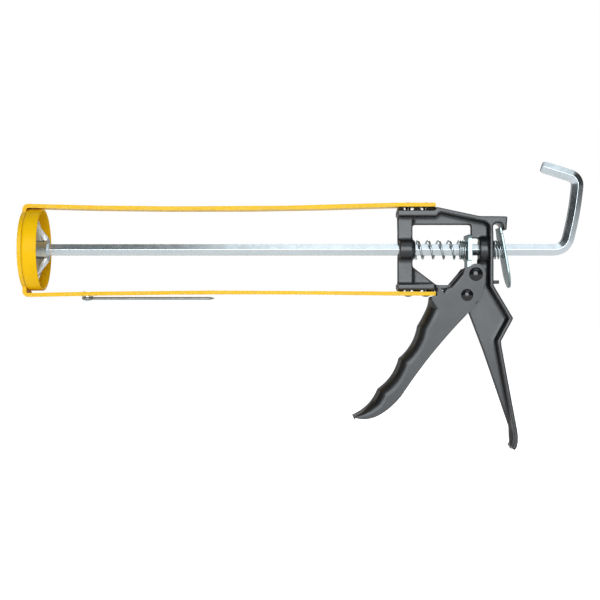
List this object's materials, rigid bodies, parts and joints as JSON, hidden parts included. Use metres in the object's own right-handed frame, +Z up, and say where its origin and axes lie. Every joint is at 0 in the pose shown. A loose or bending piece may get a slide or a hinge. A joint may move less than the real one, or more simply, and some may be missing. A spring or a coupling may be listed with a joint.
{
  "type": "caulking gun",
  "caption": "Open-frame caulking gun: strap cradle with front cup, hexagon push rod with pull hook, trigger with drive plate and spring, cast handle and thumb release plate.",
  "frame": {"origin": "centre of the nozzle hole, on the front face of the cradle, on the push rod's axis", "axes": "+X back along the push rod towards the pull hook, +Z up from the handle to the cradle, +Y across; the tool is symmetric about Y = 0"},
  "size_m": [0.3458, 0.0506, 0.1783],
  "materials": {
    "yellow_paint": "gloss",
    "black_paint_rivets": "gloss",
    "black_cast_paint": "satin",
    "black_sheet_paint": "satin",
    "black_rivet_gloss": "gloss",
    "zinc_plate": "satin",
    "zinc_rod": "satin",
    "spring_steel": "satin"
  },
  "bodies": {
    "frame": {"cradle_strap": "yellow_paint", "front_cup": "yellow_paint", "strap_rivets_upper": "black_paint_rivets", "strap_rivets_lower": "black_paint_rivets", "handle_casting": "black_cast_paint", "trigger_pivot_rivet": "black_rivet_gloss", "release_stop_pin": "black_cast_paint", "drive_spring": "spring_steel", "release_spring": "spring_steel", "piercing_rivet": "zinc_plate", "piercing_washer": "zinc_plate"},
    "trigger": {"trigger": "black_sheet_paint", "drive_pin_rivet": "black_rivet_gloss", "drive_pin_sleeve": "zinc_plate"},
    "push_rod": {"push_rod": "zinc_rod", "piston_disc": "zinc_plate", "piston_spider": "zinc_plate", "piston_washer": "zinc_plate", "piston_nut": "zinc_plate"},
    "drive_plate": {"drive_plate": "zinc_plate"},
    "release_plate": {"release_plate": "zinc_plate"},
    "piercing_wire": {"piercing_wire": "spring_steel"}
  },
  "joints": [
    {"name": "rod_slide", "type": "slide", "parent": "frame", "child": "push_rod", "axis": [1, 0, 0], "range_m": [0, 0.215]},
    {"name": "trigger_squeeze", "type": "hinge", "parent": "frame", "child": "trigger", "pos_m": [0.2729, 0, -0.028], "axis": [0, -1, 0], "range_deg": [0, 38], "stiffness_Nm_per_rad": 0.25, "springref_deg": -28.65},
    {"name": "drive_plate_slide", "type": "slide", "parent": "frame", "child": "drive_plate", "axis": [-1, 0, 0], "range_m": [0, 0.0095], "deforming": ["drive_spring"]},
    {"name": "release_plate_tilt", "type": "hinge", "parent": "frame", "child": "release_plate", "pos_m": [0.2928, 0, 0.0134], "axis": [0, 1, 0], "range_deg": [0, 6.5], "stiffness_Nm_per_rad": 0.05, "springref_deg": -17.19, "deforming": ["release_spring"]},
    {"name": "piercing_wire_swing", "type": "hinge", "parent": "frame", "child": "piercing_wire", "pos_m": [0.0388, 0, -0.0303], "axis": [0, 0, 1], "continuous": true}
  ],
  "couplings": [
    {"joint": "drive_plate_slide", "follows": "trigger_squeeze", "m_per_rad": 0.01368}
  ]
}
